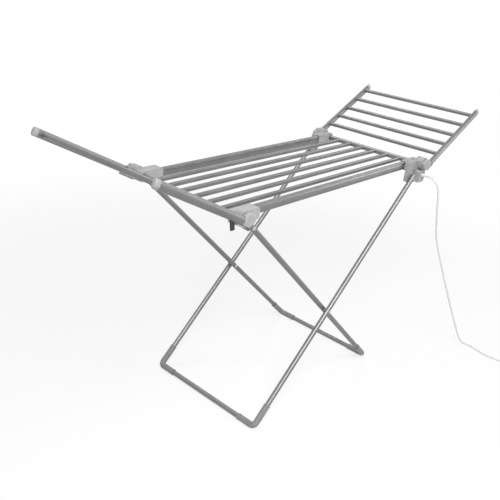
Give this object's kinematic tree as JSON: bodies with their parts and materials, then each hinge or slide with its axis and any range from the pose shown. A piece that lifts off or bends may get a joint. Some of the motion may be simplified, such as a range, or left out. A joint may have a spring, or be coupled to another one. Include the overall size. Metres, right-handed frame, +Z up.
{
  "type": "heated clothes airer",
  "caption": "Winged electric clothes airer: a rack of heated bars on crossed folding legs, with a hinged wing of bars at each end and a mains cord.",
  "frame": {"origin": "on the floor, midway between the two ends and the two flanks of the airer, measured without its cord", "axes": "+Z up, X along the rack from the pivot end to the hook end, Y across from the near flank to the far flank"},
  "size_m": [1.6576, 1.0729, 0.9564],
  "materials": {
    "silver_painted_tube": "silver-grey powder coat on steel and aluminium tube",
    "light_grey_plastic": "light grey moulded plastic",
    "white_plastic": "white moulded plastic and cord sheath",
    "black_plastic": "black moulded rocker",
    "bright_steel": "zinc-plated pins, studs and rivets",
    "silicone_heating_cable": "silicone-sheathed heating cable inside the bars"
  },
  "bodies": {
    "rack": {"side_rail_near": "silver_painted_tube", "side_rail_far": "silver_painted_tube", "end_rail_left": "silver_painted_tube", "end_rail_right": "silver_painted_tube", "rack_bar_1": "silver_painted_tube", "rack_bar_2": "silver_painted_tube", "rack_bar_3": "silver_painted_tube", "rack_bar_4": "silver_painted_tube", "rack_bar_5": "silver_painted_tube", "rack_bar_6": "silver_painted_tube", "rack_heating_cable": "silicone_heating_cable", "corner_left_near": "light_grey_plastic", "corner_left_far": "light_grey_plastic", "corner_right_near": "light_grey_plastic", "corner_right_far": "light_grey_plastic", "switch_housing": "light_grey_plastic", "strain_relief": "white_plastic", "cord": "white_plastic", "cord_coil": "white_plastic", "plug": "white_plastic", "pivot_pin_near": "bright_steel", "pivot_pin_far": "bright_steel"},
    "left_wing": {"left_wing_arm_near": "silver_painted_tube", "left_wing_arm_far": "silver_painted_tube", "left_wing_bar_1": "silver_painted_tube", "left_wing_bar_2": "silver_painted_tube", "left_wing_bar_3": "silver_painted_tube", "left_wing_bar_4": "silver_painted_tube", "left_wing_bar_5": "silver_painted_tube", "left_wing_heating_cable": "silicone_heating_cable", "wing_pin_left_near": "light_grey_plastic", "wing_pin_left_far": "light_grey_plastic"},
    "right_wing": {"right_wing_arm_near": "silver_painted_tube", "right_wing_arm_far": "silver_painted_tube", "right_wing_bar_1": "silver_painted_tube", "right_wing_bar_2": "silver_painted_tube", "right_wing_bar_3": "silver_painted_tube", "right_wing_bar_4": "silver_painted_tube", "right_wing_bar_5": "silver_painted_tube", "right_wing_heating_cable": "silicone_heating_cable", "wing_pin_right_near": "light_grey_plastic", "wing_pin_right_far": "light_grey_plastic"},
    "inner_legs": {"inner_leg_near": "silver_painted_tube", "inner_leg_far": "silver_painted_tube", "inner_foot_tube": "silver_painted_tube", "inner_elbow_near": "light_grey_plastic", "inner_elbow_far": "light_grey_plastic", "inner_leg_cap_near": "white_plastic", "inner_leg_cap_far": "white_plastic", "crossing_rivet_near": "bright_steel", "crossing_rivet_far": "bright_steel"},
    "outer_legs": {"outer_leg_near": "silver_painted_tube", "outer_leg_far": "silver_painted_tube", "outer_foot_tube": "silver_painted_tube", "outer_elbow_near": "light_grey_plastic", "outer_elbow_far": "light_grey_plastic", "hook_stud_near": "bright_steel", "hook_stud_far": "bright_steel"},
    "rocker": {"power_rocker": "black_plastic"}
  },
  "joints": [
    {"name": "left_wing_hinge", "type": "hinge", "parent": "rack", "child": "left_wing", "pos_m": [-0.477, 0, 0.7895], "axis": [0, 1, 0], "range_deg": [0, 152]},
    {"name": "right_wing_hinge", "type": "hinge", "parent": "rack", "child": "right_wing", "pos_m": [0.477, 0, 0.7895], "axis": [0, -1, 0], "range_deg": [0, 152]},
    {"name": "leg_fold", "type": "hinge", "parent": "rack", "child": "inner_legs", "pos_m": [-0.418, 0, 0.734], "axis": [0, -1, 0], "range_deg": [0, 40]},
    {"name": "leg_cross", "type": "hinge", "parent": "inner_legs", "child": "outer_legs", "pos_m": [0, 0, 0.33076], "axis": [0, -1, 0], "range_deg": [0, 88]},
    {"name": "power_rocker_tilt", "type": "hinge", "parent": "rack", "child": "rocker", "pos_m": [0.486, -0.2216, 0.7432], "axis": [0, -1, 0], "range_deg": [0, 12]}
  ],
  "couplings": [
    {"joint": "leg_cross", "follows": "leg_fold", "ratio": 2.2}
  ]
}
